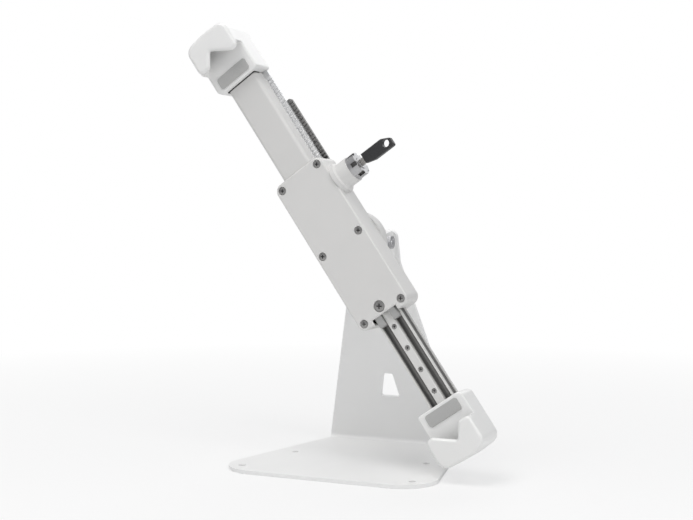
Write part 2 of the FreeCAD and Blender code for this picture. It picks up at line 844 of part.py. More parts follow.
def make_front_cover():
    body = new_body("front_cover")
    in_arm_frame(body)
    pad(body, "Plate", "XZ_Plane", 0, S.cover_thick, box_corners(
        -S.housing_half_width, -S.housing_half_length,
        S.housing_half_width, S.housing_half_length, S.housing_corner))
    notch_top = S.cover_notch_depth - S.housing_half_length
    pocket(body, "BottomNotch", "XZ_Plane", 0, S.cover_thick, box_corners(
        -S.cover_notch_half, -S.housing_half_length - 3, S.cover_notch_half, notch_top))
    chamfer(body, "FrontEdges", S.cover_chamfer, lambda edge: lies_at(edge, "Y", as_size(0)))
    pocket(body, "ScrewRecesses", "XZ_Plane", 0, SCREW_SINK,
           *[many_sided(x, z, S.screw_head_radius + S.slide_gap) for x, z in cover_screw_places()],
           many_sided(0, -S.clamp_screw_along, S.clamp_head_radius + S.slide_gap))


def make_screw_heads(label, frame, places, head_front, radius, thick):
    """Heads of screws that point along Y, as one sub-part."""
    body = new_body(label)
    frame(body)
    pad(body, "Heads", "XZ_Plane", head_front, thick,
        *[many_sided(x, z, radius) for x, z in places])


def cover_screw_places():
    return [(across * S.screw_across, along * S.screw_along) for across, along in COVER_SCREWS]


def rail_screw_places():
    return [(0, -(S.rail_screw_start + S.rail_screw_pitch * step)) for step in range(4)]


def clip_screw_places():
    return [(side * S.clip_screw_half, S.clip_screw_at) for side in (-1, 1)]


def make_screws():
    thick = S.screw_head_thick
    make_screw_heads("cover_screws", in_arm_frame, cover_screw_places(), S.screw_head_sink,
                     S.screw_head_radius, thick)
    make_screw_heads("clamp_screw", in_arm_frame, [(0, -S.clamp_screw_along)], S.screw_head_sink,
                     S.clamp_head_radius, thick)
    make_screw_heads("lower_rail_screws", in_arm_frame, rail_screw_places(),
                     RAIL_FRONT + S.screw_head_sink, S.rail_screw_head, thick)
    make_screw_heads("clevis_screws", in_head_frame,
                     [(side * S.clevis_screw_half, -S.clevis_screw_drop) for side in (-1, 1)],
                     S.clevis_reach + S.sheet_thick, S.clevis_screw_head, S.clevis_screw_head_thick)
    clip_head_front = S.clip_back - SCREW_SINK
    make_screw_heads("upper_clip_screws", in_upper_clip_frame, clip_screw_places(),
                     clip_head_front, S.screw_head_radius, thick)
    make_screw_heads("lower_clip_screws", in_lower_clip_frame, clip_screw_places(),
                     clip_head_front, S.screw_head_radius, thick)


def make_guide_shoes():
    inner = S.rib_half + S.shoe_side_gap
    outer = S.rail_half - S.flange_thick - S.shoe_side_gap
    for side, label in ((-1, "guide_shoe_left"), (1, "guide_shoe_right")):
        body = new_body(label)
        in_arm_frame(body)
        low, high = (inner, outer) if side > 0 else (-outer, -inner)
        pad(body, "Shoe", "XZ_Plane", S.cover_thick, S.groove_floor - S.slide_gap - S.cover_thick,
            box_corners(low, -S.housing_half_length - S.shoe_out, high,
                        S.shoe_in - S.housing_half_length))
        chamfer(body, "OuterEdges", 0.8, lambda edge: lies_at(
            edge, "Z", -S.housing_half_length - S.shoe_out))


# Sliding arms

def make_upper_channel():
    body = new_body("upper_arm_channel")
    in_arm_frame(body)
    inner_front = S.channel_front + S.channel_wall
    pad(body, "Channel", "XY_Plane", S.channel_tail,
        S.tablet_offset + S.socket_end - S.channel_tail, [
            (-S.channel_half, S.channel_front, S.channel_rounding),
            (S.channel_half, S.channel_front, S.channel_rounding),
            (S.channel_half, S.channel_back),
            (CHANNEL_INNER, S.channel_back),
            (CHANNEL_INNER, inner_front, S.channel_rounding - S.channel_wall),
            (-CHANNEL_INNER, inner_front, S.channel_rounding - S.channel_wall),
            (-CHANNEL_INNER, S.channel_back),
            (-S.channel_half, S.channel_back),
        ])


def make_lower_rail():
    body = new_body("lower_arm_rail")
    in_arm_frame(body)
    low = S.tablet_offset - S.socket_end
    length = S.rail_tail - low
    flange_front = RAIL_FRONT + S.flange_drop
    flange_inner = S.rail_half - S.flange_thick
    pad(body, "Rail", "XY_Plane", low, length, [
        (-S.rail_half, flange_front),
        (-flange_inner, flange_front),
        (-flange_inner, S.groove_floor),
        (-S.rib_half, S.groove_floor),
        (-S.rib_half, RAIL_FRONT, 0.6),
        (S.rib_half, RAIL_FRONT, 0.6),
        (S.rib_half, S.groove_floor),
        (flange_inner, S.groove_floor),
        (flange_inner, flange_front),
        (S.rail_half, flange_front),
        (S.rail_half, S.rail_back),
        (-S.rail_half, S.rail_back),
    ])
    pocket(body, "ScrewRecesses", "XZ_Plane", RAIL_FRONT, SCREW_SINK,
           *[many_sided(x, z, S.rail_screw_head + S.screw_play) for x, z in rail_screw_places()])
    body = new_body("lower_arm_backbone")
    in_arm_frame(body)
    pad(body, "Bar", "XY_Plane", low, length,
        box_corners(-BACKBONE_HALF, S.rail_back, BACKBONE_HALF, BACKBONE_BACK))


def tooth_groove(middle, face, towards):
    """One V groove between two teeth, with its mouth just past the face."""
    depth = S.tooth_depth
    half = (S.tooth_pitch - S.tooth_crest) / 2
    past = 0.2
    mouth = half * (1 + past / depth.value)
    return [
        (face - towards * past, middle - mouth),
        (face + towards * depth, middle),
        (face - towards * past, middle + mouth),
    ]


def cut_teeth(body, inner, front, below, above):
    """Grooves across a rack's front, in step with the pawl at rest."""
    lowest = S.lock_along - S.tooth_pitch * (below + 0.5)
    groove = pocket(body, "ToothGroove", "YZ_Plane", inner, S.rack_width,
                    tooth_groove(lowest, front, 1))
    row_of(body, "Teeth", groove, "Z_Axis", S.tooth_pitch, below + above + 2)


def make_upper_rack():
    body = new_body("upper_rack")
    in_arm_frame(body)
    pad(body, "Strip", "XZ_Plane", S.upper_rack_front, S.rack_thick, box_corners(
        S.upper_rack_inner, -S.upper_rack_tail, UPPER_RACK_OUTER,
        S.tablet_offset + S.socket_end - 7))
    cut_teeth(body, S.upper_rack_inner, S.upper_rack_front, 7, 32)


def make_lower_rack():
    body = new_body("lower_rack")
    in_arm_frame(body)
    foot_top = S.foot_height - S.lower_rack_foot
    pad(body, "Strip", "XZ_Plane", S.lower_rack_front, S.rack_thick, [
        (-S.foot_reach, -S.lower_rack_foot),
        (LOWER_RACK_OUTER, -S.lower_rack_foot),
        (LOWER_RACK_OUTER, S.lower_rack_top - 1.5),
        (LOWER_RACK_OUTER - 1.5, S.lower_rack_top),
        (S.lower_rack_inner, S.lower_rack_top),
        (S.lower_rack_inner, foot_top),
        (-S.foot_reach, foot_top),
    ])
    cut_teeth(body, S.lower_rack_inner, S.lower_rack_front, 13, 24)
    body = new_body("rack_spacer")
    in_arm_frame(body)
    pad(body, "Block", "XZ_Plane", BACKBONE_BACK, S.lower_rack_front - BACKBONE_BACK,
        box_corners(-S.spacer_half, -S.lower_rack_foot, S.spacer_half, foot_top))


# Corner clips

def clip_end_outline():
    """Outer end of a clip, from its right side over to its left."""
    return [
        (S.clip_half, S.clip_end, 8),
        (0, S.clip_end + S.clip_bulge, 60),
        (-S.clip_half, S.clip_end, 8),
    ]


def lip_outline():
    """Front lip: covers the tablet's corner, with a notch over its face."""
    lean = S.arm_lean
    tip_x = CORNER_ACROSS + S.lip_overlap * (cosine(lean) - sine(lean))
    tip_z = CORNER_OUT - S.lip_overlap * (cosine(lean) + sine(lean))
    rise = tip_z - S.lip_start
    return [
        (-S.clip_half, S.lip_start, 4),
        (tip_x - rise * tangent(lean), S.lip_start, 2),
        (tip_x, tip_z, 1.2),
        (tip_x + rise / tangent(lean), S.lip_start, 2),
        (S.clip_half, S.lip_start, 4),
        *clip_end_outline(),
    ]


def wall_outline():
    """Material left outside the slot that takes the tablet's corner."""
    lean = S.arm_lean
    grow = S.tablet_play + S.pad_thick
    slot_x = CORNER_ACROSS - grow * (cosine(lean) - sine(lean))
    slot_z = CORNER_OUT + grow * (cosine(lean) + sine(lean))
    return [
        (S.clip_half, slot_z - (S.clip_half - slot_x) * tangent(lean)),
        *clip_end_outline(),
        (-S.clip_half, slot_z - (slot_x + S.clip_half) / tangent(lean)),
        (slot_x, slot_z),
    ]


def make_clip_body(prefix, frame, socket_half, socket_front, socket_back):
    body = new_body(prefix + "_clip_body")
    frame(body)
    pad(body, "Block", "XZ_Plane", FLOOR_FRONT, S.clip_back - FLOOR_FRONT, [
        (-S.clip_half, S.clip_start, S.clip_inner_corner),
        (S.clip_half, S.clip_start, 2),
        *clip_end_outline(),
    ])
    chamfer(body, "BackEdges", S.clip_edge, lambda edge: lies_at(edge, "Y", S.clip_back))
    pad(body, "Wall", "XZ_Plane", LIP_BACK, FLOOR_FRONT - LIP_BACK, wall_outline())
    pad(body, "Lip", "XZ_Plane", LIP_FRONT, S.lip_thick, lip_outline())
    chamfer(body, "LipEdges", S.clip_edge, lambda edge: lies_at(edge, "Y", LIP_FRONT))
    depth = S.socket_end + S.screw_play - S.clip_start
    pocket(body, "ArmSocket", "XY_Plane", S.clip_start, depth,
           box_corners(-socket_half, socket_front, socket_half, socket_back))
    pocket(body, "CoverRecess", "XZ_Plane", CLIP_COVER_FRONT, S.clip_cover_thick,
           clip_cover_outline(0))
    pocket(body, "RackRebate", "XZ_Plane", S.clip_back - S.rack_rebate, S.rack_rebate + 1,
           box_corners(S.lower_rack_inner - 0.5, S.clip_start - 1, S.clip_half + 1,
                       S.clip_end + S.clip_bulge))
    return body


def clip_cover_outline(inset):
    half = S.clip_cover_half - inset
    return cut_corners(-half, S.clip_start + 5 + inset, half, S.clip_end - 5 - inset, 2)


def make_clip_fittings(prefix, frame):
    """Back cover and the two soft pads of one clip."""
    body = new_body(prefix + "_clip_back")
    frame(body)
    pad(body, "Plate", "XZ_Plane", CLIP_COVER_FRONT, S.clip_cover_thick,
        clip_cover_outline(S.screw_play))
    pocket(body, "ScrewRecesses", "XZ_Plane", S.clip_back - SCREW_SINK, SCREW_SINK,
           *[many_sided(x, z, S.screw_head_radius + S.slide_gap) for x, z in clip_screw_places()])
    body = new_body(prefix + "_edge_pad")
    frame(body)
    lean = S.arm_lean
    along = (cosine(lean), -sine(lean))
    down = (-sine(lean), -cosine(lean))

    def corner_point(run, drop):
        return (CORNER_ACROSS + along[0] * run + down[0] * drop,
                CORNER_OUT + along[1] * run + down[1] * drop)

    near, far = -S.tablet_play, -(S.tablet_play + S.pad_thick)
    pad(body, "Pad", "XZ_Plane", LIP_BACK, FLOOR_FRONT - LIP_BACK, [
        corner_point(near, near),
        corner_point(near, S.edge_pad_short),
        corner_point(far, S.edge_pad_short),
        corner_point(far, far),
        corner_point(S.edge_pad_long, far),
        corner_point(S.edge_pad_long, near),
    ])
    body = new_body(prefix + "_floor_pad")
    frame(body)
    pad(body, "Pad", "XZ_Plane", FLOOR_FRONT - S.floor_pad_thick, S.floor_pad_thick,
        cut_corners(-S.floor_pad_half, S.clip_start + 2.5, S.floor_pad_half,
                    S.clip_start + 12.5, 1.5))


def make_clips():
    upper = make_clip_body("upper", in_upper_clip_frame, S.channel_half + S.screw_play,
                           S.channel_front - S.screw_play, S.channel_back + S.screw_play)
    pocket(upper, "RackSocket", "XZ_Plane", S.channel_back, UPPER_RACK_BACK - S.channel_back
           + S.screw_play, box_corners(
               S.upper_rack_inner - S.screw_play, S.clip_start - 1,
               UPPER_RACK_OUTER + S.screw_play, S.socket_end - 7 + S.screw_play))
    make_clip_fittings("upper", in_upper_clip_frame)
    make_clip_body("lower", in_lower_clip_frame, BACKBONE_HALF + S.screw_play,
                   RAIL_FRONT - S.screw_play, BACKBONE_BACK + S.screw_play)
    make_clip_fittings("lower", in_lower_clip_frame)


# Key lock, drawn about its own axis, with +X out of the housing

def make_lock_barrel():
    body = new_body("lock_barrel")
    in_lock_frame(body)
    length = S.barrel_end - S.lock_boss_end
    pad(body, "Head", "YZ_Plane", S.lock_boss_end, length, circle(0, 0, S.barrel_radius))
    half = S.barrel_slot_width / 2
    slot = pocket(body, "RimSlot", "YZ_Plane", S.barrel_end - S.barrel_slot_length,
                  S.barrel_slot_length, box_corners(
                      S.barrel_radius - S.barrel_slot_depth, -half, S.barrel_radius + 1, half))
    ring_of(body, "RimSlots", slot, "X_Axis", 6)
    pocket(body, "PlugBore", "YZ_Plane", S.lock_boss_end, length, many_sided(0, 0, PLUG_BORE))


def make_lock_plug():
    body = new_body("lock_plug")
    in_lock_frame(body)
    front = S.barrel_end + S.plug_proud
    pad(body, "Plug", "YZ_Plane", S.plug_base, front - S.plug_base, circle(0, 0, S.plug_radius))
    pad(body, "Tail", "YZ_Plane", CAM_START, S.plug_base - CAM_START, square_tail())
    half_thick = S.key_thick / 2 + S.key_play
    half_width = S.key_half_width + S.key_play
    keyway_start = S.key_tip - S.key_play
    pocket(body, "Keyway", "YZ_Plane", keyway_start, front - keyway_start,
           box_corners(-half_thick, -half_width, half_thick, half_width))
    body = new_body("lock_cam")
    in_lock_frame(body)
    pad(body, "Cam", "YZ_Plane", CAM_START, CAM_LENGTH,
        circle(0, -S.cam_throw, S.cam_radius), square_tail())


def square_tail():
    return box_corners(-S.tail_half, -S.tail_half, S.tail_half, S.tail_half)


def make_locking_pawl():
    body = new_body("locking_pawl")
    in_lock_frame(body)
    inner = S.channel_half + S.pawl_side_gap
    outer = HOUSING_INNER - S.pawl_side_gap
    split = UPPER_RACK_OUTER + S.slide_gap
    window = S.cam_radius + S.cam_gap
    yoke = window + S.pawl_wall
    long = S.pawl_half_length
    pad(body, "Yoke", "YZ_Plane", inner, outer - inner, box_corners(-yoke, -long, yoke, long))
    upper_tip = S.upper_rack_front - S.pawl_gap - S.lock_depth
    lower_tip = S.lower_rack_front - S.pawl_gap - S.lock_depth
    pad(body, "UpperPad", "YZ_Plane", inner, UPPER_RACK_OUTER - inner,
        box_corners(yoke - 2, -long, upper_tip, long))
    pad(body, "LowerPad", "YZ_Plane", split, outer - split,
        box_corners(yoke - 2, -long, lower_tip, long))
    pocket(body, "Window", "YZ_Plane", inner, outer - inner,
           box_corners(-window, -S.pawl_window_half, window, S.pawl_window_half))
    for name, start, width, tip in (
        ("Upper", inner, UPPER_RACK_OUTER - inner, upper_tip),
        ("Lower", split, outer - split, lower_tip),
    ):
        groove = pocket(body, name + "Groove", "YZ_Plane", start, width,
                        tooth_groove(S.tooth_pitch * -2, tip, -1))
        row_of(body, name + "Teeth", groove, "Z_Axis", S.tooth_pitch, 5)


def make_key():
    body = new_body("key_blade")
    in_lock_frame(body)
    blade_end = S.key_head_start + 3
    pad(body, "Blade", "YZ_Plane", S.key_tip, blade_end - S.key_tip,
        box_corners(-S.key_thick / 2, -S.key_half_width, S.key_thick / 2, S.key_half_width))
    bits = []
    for step, depth in enumerate((0.9, 1.4, 0.6, 1.1)):
        middle = S.key_tip + 3 + 3.2 * step
        edge = S.key_half_width
        bits.append([(middle - 1.6, edge + 0.2), (middle, edge - depth), (middle + 1.6, edge + 0.2)])
    pocket(body, "Bitting", "XZ_Plane", -S.key_thick / 2, S.key_thick, *bits)
    body = new_body("key_head")
    in_lock_frame(body)
    half = S.key_head_half
    pad(body, "Bow", "XZ_Plane", -S.key_head_thick / 2, S.key_head_thick, [
        (S.key_head_start, -S.key_half_width - 0.4),
        (S.key_head_start + S.key_shoulder, -half),
        (S.key_head_end, -half, 1.5),
        (S.key_head_end, half - S.key_head_cut / 2, 1.5),
        (S.key_head_end - S.key_head_cut, half, 1.5),
        (S.key_head_start, half),
    ])
    chamfer(body, "BowEdges", S.key_head_chamfer,
            lambda edge: lies_at(edge, "Y", S.key_head_thick / 2)
            or lies_at(edge, "Y", -S.key_head_thick / 2))
    pocket(body, "BladeSocket", "YZ_Plane", S.key_head_start, blade_end - S.key_head_start,
           box_corners(-S.key_thick / 2, -S.key_half_width, S.key_thick / 2, S.key_half_width))
    ring_place = S.key_head_end - S.key_ring_margin - S.key_ring_radius
    pocket(body, "RingHole", "XZ_Plane", -S.key_head_thick / 2, S.key_head_thick,
           many_sided(ring_place, 0, S.key_ring_radius))


def check_sub_parts():
    """Stop unless every feature and every shape came out sound."""
    doc.recompute()
    for item in doc.Objects:
        if "Invalid" in item.State or "Error" in item.State:
            raise RuntimeError(f"{item.Label} failed: {item.State}")
    for body in SUB_PARTS:
        if body.Shape.isNull() or not body.Shape.isValid():
            raise RuntimeError(f"{body.Label} has no sound shape")


make_stand_frame()
make_tilt_clevis()
make_hinge_bolt()
make_hinge_nut()
make_hinge_washers()
make_swivel_plate()
make_swivel_bolt()
make_swivel_stack()
make_rear_housing()
make_front_cover()
make_screws()
make_guide_shoes()
make_upper_channel()
make_upper_rack()
make_lower_rail()
make_lower_rack()
make_clips()
make_lock_barrel()
make_lock_plug()
make_locking_pawl()
make_key()
check_sub_parts()

os.makedirs("parts", exist_ok=True)
for body in SUB_PARTS:
    body.Shape.exportStep(f"parts/{body.Label}.step")
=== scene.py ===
import json
import math

import bmesh
import bpy
from mathutils import Matrix, Vector


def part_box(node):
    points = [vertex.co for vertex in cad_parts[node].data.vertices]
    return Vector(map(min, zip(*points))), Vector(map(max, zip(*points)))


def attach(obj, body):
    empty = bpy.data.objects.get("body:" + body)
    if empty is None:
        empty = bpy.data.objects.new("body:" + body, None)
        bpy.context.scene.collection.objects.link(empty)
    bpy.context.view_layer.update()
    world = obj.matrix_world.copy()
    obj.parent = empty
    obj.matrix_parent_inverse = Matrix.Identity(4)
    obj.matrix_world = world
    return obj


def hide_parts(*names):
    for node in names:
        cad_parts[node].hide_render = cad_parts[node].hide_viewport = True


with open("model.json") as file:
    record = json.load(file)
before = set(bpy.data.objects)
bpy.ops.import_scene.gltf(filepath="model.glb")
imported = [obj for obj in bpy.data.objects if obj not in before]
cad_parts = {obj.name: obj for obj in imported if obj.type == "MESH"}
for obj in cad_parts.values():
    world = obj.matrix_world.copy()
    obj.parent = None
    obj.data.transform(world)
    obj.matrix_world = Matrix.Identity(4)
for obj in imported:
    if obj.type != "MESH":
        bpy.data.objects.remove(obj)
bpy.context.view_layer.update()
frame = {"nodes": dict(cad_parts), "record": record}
nodes = frame["nodes"]

MM = 0.001

# How the object stands: the arms lean in XZ and the upright in YZ
ARM_LEAN = math.radians(34.5)
UPRIGHT_LEAN = math.radians(15.9)
FRONT = Vector((0, -1, 0))
SIDEWAYS = Vector((1, 0, 0))
ACROSS_ARMS = Vector((math.cos(ARM_LEAN), 0, math.sin(ARM_LEAN)))
ALONG_ARMS = Vector((-math.sin(ARM_LEAN), 0, math.cos(ARM_LEAN)))
OUT_OF_UPRIGHT = Vector((0, math.cos(UPRIGHT_LEAN), math.sin(UPRIGHT_LEAN)))

WELD_DISTANCE = 0.001 * MM
SHADED_SMOOTH_UP_TO = math.radians(32)


# Node graphs

class Graph:
    """A material with one Principled shader and helpers to wire it."""

    def __init__(self, name):
        self.material = bpy.data.materials.new(name)
        self.material.use_nodes = True
        self.tree = self.material.node_tree
        self.shader = self.tree.nodes["Principled BSDF"]
        coordinates = self.node("ShaderNodeTexCoord")
        self.place = coordinates.outputs["Object"]

    def node(self, kind, **settings):
        made = self.tree.nodes.new(kind)
        for key, value in settings.items():
            setattr(made, key, value)
        return made

    def link(self, source, target):
        self.tree.links.new(source, target)

    def set(self, socket, value):
        self.shader.inputs[socket].default_value = value

    def finish(self, colour, roughness, normal):
        """Wire the shader's main inputs and hand the material over."""
        self.link(colour, self.shader.inputs["Base Color"])
        self.link(roughness, self.shader.inputs["Roughness"])
        self.link(normal, self.shader.inputs["Normal"])
        return self.material

    def stretched(self, stretch, lean):
        """Coordinates drawn out along a direction that leans in XZ."""
        mapping = self.node("ShaderNodeMapping")
        mapping.vector_type = "TEXTURE"
        mapping.inputs["Rotation"].default_value = (0, -lean, 0)
        mapping.inputs["Scale"].default_value = (1.0, 1.0, stretch)
        self.link(self.place, mapping.inputs["Vector"])
        return mapping.outputs["Vector"]

    def noise(self, scale, detail=3.0, roughness=0.5, vector=None):
        made = self.node("ShaderNodeTexNoise")
        made.inputs["Scale"].default_value = scale
        made.inputs["Detail"].default_value = detail
        made.inputs["Roughness"].default_value = roughness
        self.link(vector or self.place, made.inputs["Vector"])
        return made.outputs["Fac"]

    def span(self, value, low, high, start=0.0, end=1.0):
        """Map a factor's range from start to end onto low to high."""
        made = self.node("ShaderNodeMapRange")
        made.inputs["From Min"].default_value = start
        made.inputs["From Max"].default_value = end
        made.inputs["To Min"].default_value = low
        made.inputs["To Max"].default_value = high
        self.link(value, made.inputs["Value"])
        return made.outputs["Result"]

    def mix(self, factor, first, second):
        """Blend two colours, each a triple or a socket."""
        made = self.node("ShaderNodeMix", data_type="RGBA")
        colour_inputs = [s for s in made.inputs if s.type == "RGBA"]
        self.link(factor, made.inputs[0])
        for socket, colour in zip(colour_inputs, (first, second)):
            if isinstance(colour, bpy.types.NodeSocket):
                self.link(colour, socket)
            else:
                socket.default_value = (*colour, 1.0)
        return next(s for s in made.outputs if s.type == "RGBA")

    def maths(self, operation, first, second=None):
        """One step of arithmetic on numbers or sockets."""
        made = self.node("ShaderNodeMath", operation=operation)
        for socket, value in zip(made.inputs, (first, second)):
            if isinstance(value, bpy.types.NodeSocket):
                self.link(value, socket)
            elif value is not None:
                socket.default_value = value
        return made.outputs[0]

    def off(self, value, middle):
        """How far a value lies from a middle one, on either side."""
        return self.maths("ABSOLUTE", self.maths("SUBTRACT", value, middle))

    def along(self, direction):
        """Distance from the origin in one direction."""
        made = self.node("ShaderNodeVectorMath", operation="DOT_PRODUCT")
        self.link(self.place, made.inputs[0])
        made.inputs[1].default_value = direction
        return made.outputs["Value"]

    def away(self, middle, axis):
        """Distance from an axis through a middle point."""
        offset = self.node("ShaderNodeVectorMath", operation="SUBTRACT")
        self.link(self.place, offset.inputs[0])
        offset.inputs[1].default_value = middle
        crossed = self.node("ShaderNodeVectorMath", operation="CROSS_PRODUCT")
        self.link(offset.outputs[0], crossed.inputs[0])
        crossed.inputs[1].default_value = axis
        length = self.node("ShaderNodeVectorMath", operation="LENGTH")
        self.link(crossed.outputs[0], length.inputs[0])
        return length.outputs["Value"]

    def soften(self, radius):
        """Normals that round sharp edges a little, which bumps build on."""
        bevel = self.node("ShaderNodeBevel", samples=4)
        bevel.inputs["Radius"].default_value = radius
        return bevel.outputs["Normal"]

    def edges(self, radius):
        """0 on flat faces and up to 1 along sharp edges."""
        plain = self.node("ShaderNodeNewGeometry")
        dot = self.node("ShaderNodeVectorMath", operation="DOT_PRODUCT")
        self.link(self.soften(radius), dot.inputs[0])
        self.link(plain.outputs["Normal"], dot.inputs[1])
        return self.span(dot.outputs["Value"], 1.0, 0.0, 0.8, 0.995)

    def lit_edges(self, radius, share, body, light):
        """Blend a lighter colour in along sharp edges: painted highlights where light would catch
        them.
        """
        return self.mix(self.maths("MULTIPLY", self.edges(radius), share), body, light)

    def clouded(self, colour, tint):
        """Two close colours in soft clouds."""
        return self.mix(self.span(self.noise(14.0, 4.0), 0.0, 1.0, 0.3, 0.7), colour, tint)

    def bump(self, height, distance, strength, normal):
        made = self.node("ShaderNodeBump")
        made.inputs["Strength"].default_value = strength
        made.inputs["Distance"].default_value = distance
        self.link(height, made.inputs["Height"])
        self.link(normal, made.inputs["Normal"])
        return made.outputs["Normal"]


def reach(node, direction):
    """How far a node's points lie along a direction."""
    places = [vert.co.dot(direction) for vert in nodes[node].data.vertices]
    return min(places), max(places)


def tinted(colour, factor):
    """A colour made lighter or darker."""
    return tuple(min(1.0, c * factor) for c in colour)


# Materials

def coated(name, colour, tint, grain, depth, rough, edge=0.3 * MM, coat=0.0):
    """Powder coat, paint or moulded plastic: fine skin over soft mottling, with painted highlights
    along sharp edges.
    """
    g = Graph(name)
    fine = g.noise(grain, 2.0, 0.6)
    pits = g.span(fine, 0.93, 1.0, 0.25, 0.6)
    skin = g.mix(pits, tinted(colour, 0.9), g.clouded(colour, tint))
    # Painted highlight: the skin turns a lighter tint along sharp edges.
    edge_lit_skin = g.lit_edges(0.5 * MM, 0.35, skin, tinted(colour, 1.05))
    normal = g.bump(fine, depth, 1.0, g.soften(edge))
    normal = g.bump(g.noise(220.0, 2.0), depth * 1.5, 0.35, normal)
    g.set("Coat Weight", coat)
    g.set("Coat Roughness", 0.25)
    g.set("IOR", 1.5)
    return g.finish(edge_lit_skin, g.span(g.noise(60.0, 3.0), rough - 0.05, rough + 0.06), normal)


def plated(name, colour, dark, rough, lean=0.0):
    """Drawn or brushed metal with streaks along a leaning direction, and painted highlights along
    sharp edges.
    """
    g = Graph(name)
    streaks = g.noise(900.0, 3.0, 0.6, g.stretched(24.0, lean))
    clouds = g.noise(45.0, 4.0)
    tone = g.maths("MULTIPLY", g.span(streaks, 0.0, 1.0, 0.25, 0.75), g.span(clouds, 0.6, 1.0))
    # Painted highlight: a lighter tint along sharp edges.
    lit = g.lit_edges(0.3 * MM, 0.5, g.mix(tone, dark, colour), tinted(colour, 1.15))
    normal = g.bump(streaks, 0.012 * MM, 0.8, g.soften(0.15 * MM))
    g.set("Metallic", 1.0)
    return g.finish(lit, g.span(streaks, rough - 0.07, rough + 0.09), normal)


def grainy(name, colour, light, grain, depth, rough):
    """Rubber or textured dark plastic with a little dust in its grain, and painted highlights along
    sharp edges.
    """
    g = Graph(name)
    fine = g.noise(grain, 3.0, 0.6)
    dust = g.span(g.noise(35.0, 4.0), 0.2, 0.9)
    dusty = g.maths("MULTIPLY", g.span(fine, 0.0, 1.0, 0.4, 0.8), dust)
    # Painted highlight: a lighter tint along sharp edges.
    lit = g.lit_edges(0.5 * MM, 0.4, g.mix(dusty, colour, light), light)
    normal = g.bump(fine, depth, 1.0, g.soften(0.4 * MM))
    return g.finish(lit, g.span(g.noise(80.0), rough - 0.06, rough + 0.08), normal)


def turned_metal():
    """Satin zinc alloy with fine turning rings about the lock's own axis, painted shade in its
    hollows and painted highlights on its edges.
    """
    g = Graph("turned metal")
    low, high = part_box("lock_barrel")
    _, front = reach("lock_barrel", ACROSS_ARMS)
    rim = (high.y - low.y) / 2
    radius = g.away((low + high) / 2, ACROSS_ARMS)
    depth = g.along(ACROSS_ARMS)
    rings = g.node("ShaderNodeCombineXYZ")
    g.link(depth, rings.inputs[0])
    g.link(radius, rings.inputs[1])
    lines = g.noise(6000.0, 1.0, 0.5, rings.outputs[0])
    clouds = g.noise(60.0, 4.0)
    tone = g.maths("MULTIPLY", lines, g.span(clouds, 0.7, 1.0))
    body = g.mix(tone, (0.40, 0.40, 0.405), (0.60, 0.60, 0.61))
    # Painted shade: inside the rim and behind the front face, where the keyway and slots lie in
    # shade, the metal turns near-black.
    inside = g.span(radius, 1.0, 0.0, rim - 0.8 * MM, rim - 0.3 * MM)
    below = g.span(depth, 1.0, 0.0, front - 0.6 * MM, front - 0.2 * MM)
    body = g.mix(g.maths("MULTIPLY", inside, below), body, (0.15, 0.147, 0.144))
    # Painted highlight: a lighter tint along sharp edges.
    lit = g.lit_edges(0.4 * MM, 0.6, body, (0.74, 0.74, 0.75))
    normal = g.bump(lines, 0.01 * MM, 0.7, g.soften(0.2 * MM))
    g.set("Metallic", 1.0)
    return g.finish(lit, g.span(clouds, 0.28, 0.42), normal)


# Where the rail's two grooves lie from its middle, and the paler strip of painted light along each
# groove floor
GROOVE_MIDDLE = 6.8 * MM
LIT_STRIP_HALF = 0.5 * MM
LIT_STRIP_EDGE = 1.4 * MM


def rail_paint_and_groove_shade():
    """Painted ribs over groove floors of dark unpainted metal deepened by painted shade, each floor
    with a paler strip of painted light along its middle.
    """
    g = Graph("rail paint and groove shade")
    low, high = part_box("lower_arm_rail")
    halfway = low.y + (high.y - low.y) * 0.5
    # Painted shade: the rear half of the rail's depth, where the groove floors lie, takes dark
    # unpainted metal that is darker than its own tone.
    floor = g.span(g.along((0, 1, 0)), 0.0, 1.0, halfway - 2.0 * MM, halfway)
    streaks = g.noise(700.0, 3.0, 0.6, g.stretched(30.0, ARM_LEAN))
    # The paint's greyer white is its own tone deepened by painted shade.
    paint = g.clouded((0.72, 0.715, 0.70), (0.69, 0.685, 0.67))
    left, right = reach("lower_arm_rail", ACROSS_ARMS)
    off_centre = g.off(g.along(ACROSS_ARMS), (left + right) / 2)
    # Painted light: a paler strip along the middle of each groove floor, the lit part between its
    # shaded corners.
    lit_strip = g.span(g.off(off_centre, GROOVE_MIDDLE), 1.0, 0.0, LIT_STRIP_HALF, LIT_STRIP_EDGE)
    bare_and_shaded = g.mix(streaks, (0.07, 0.068, 0.066), (0.13, 0.127, 0.124))
    metal = g.mix(lit_strip, bare_and_shaded, (0.22, 0.215, 0.21))
    # Painted highlight: a lighter tint along sharp edges.
    lit = g.lit_edges(0.3 * MM, 0.3, g.mix(floor, paint, metal), (0.78, 0.775, 0.76))
    normal = g.bump(g.noise(900.0, 2.0), 0.015 * MM, 1.0, g.soften(0.2 * MM))
    return g.finish(lit, g.span(streaks, 0.34, 0.46), normal)


powder_coat = coated("powder coat", (0.87, 0.87, 0.865), (0.85, 0.85, 0.845),
                     grain=1500.0, depth=0.03 * MM, rough=0.42)
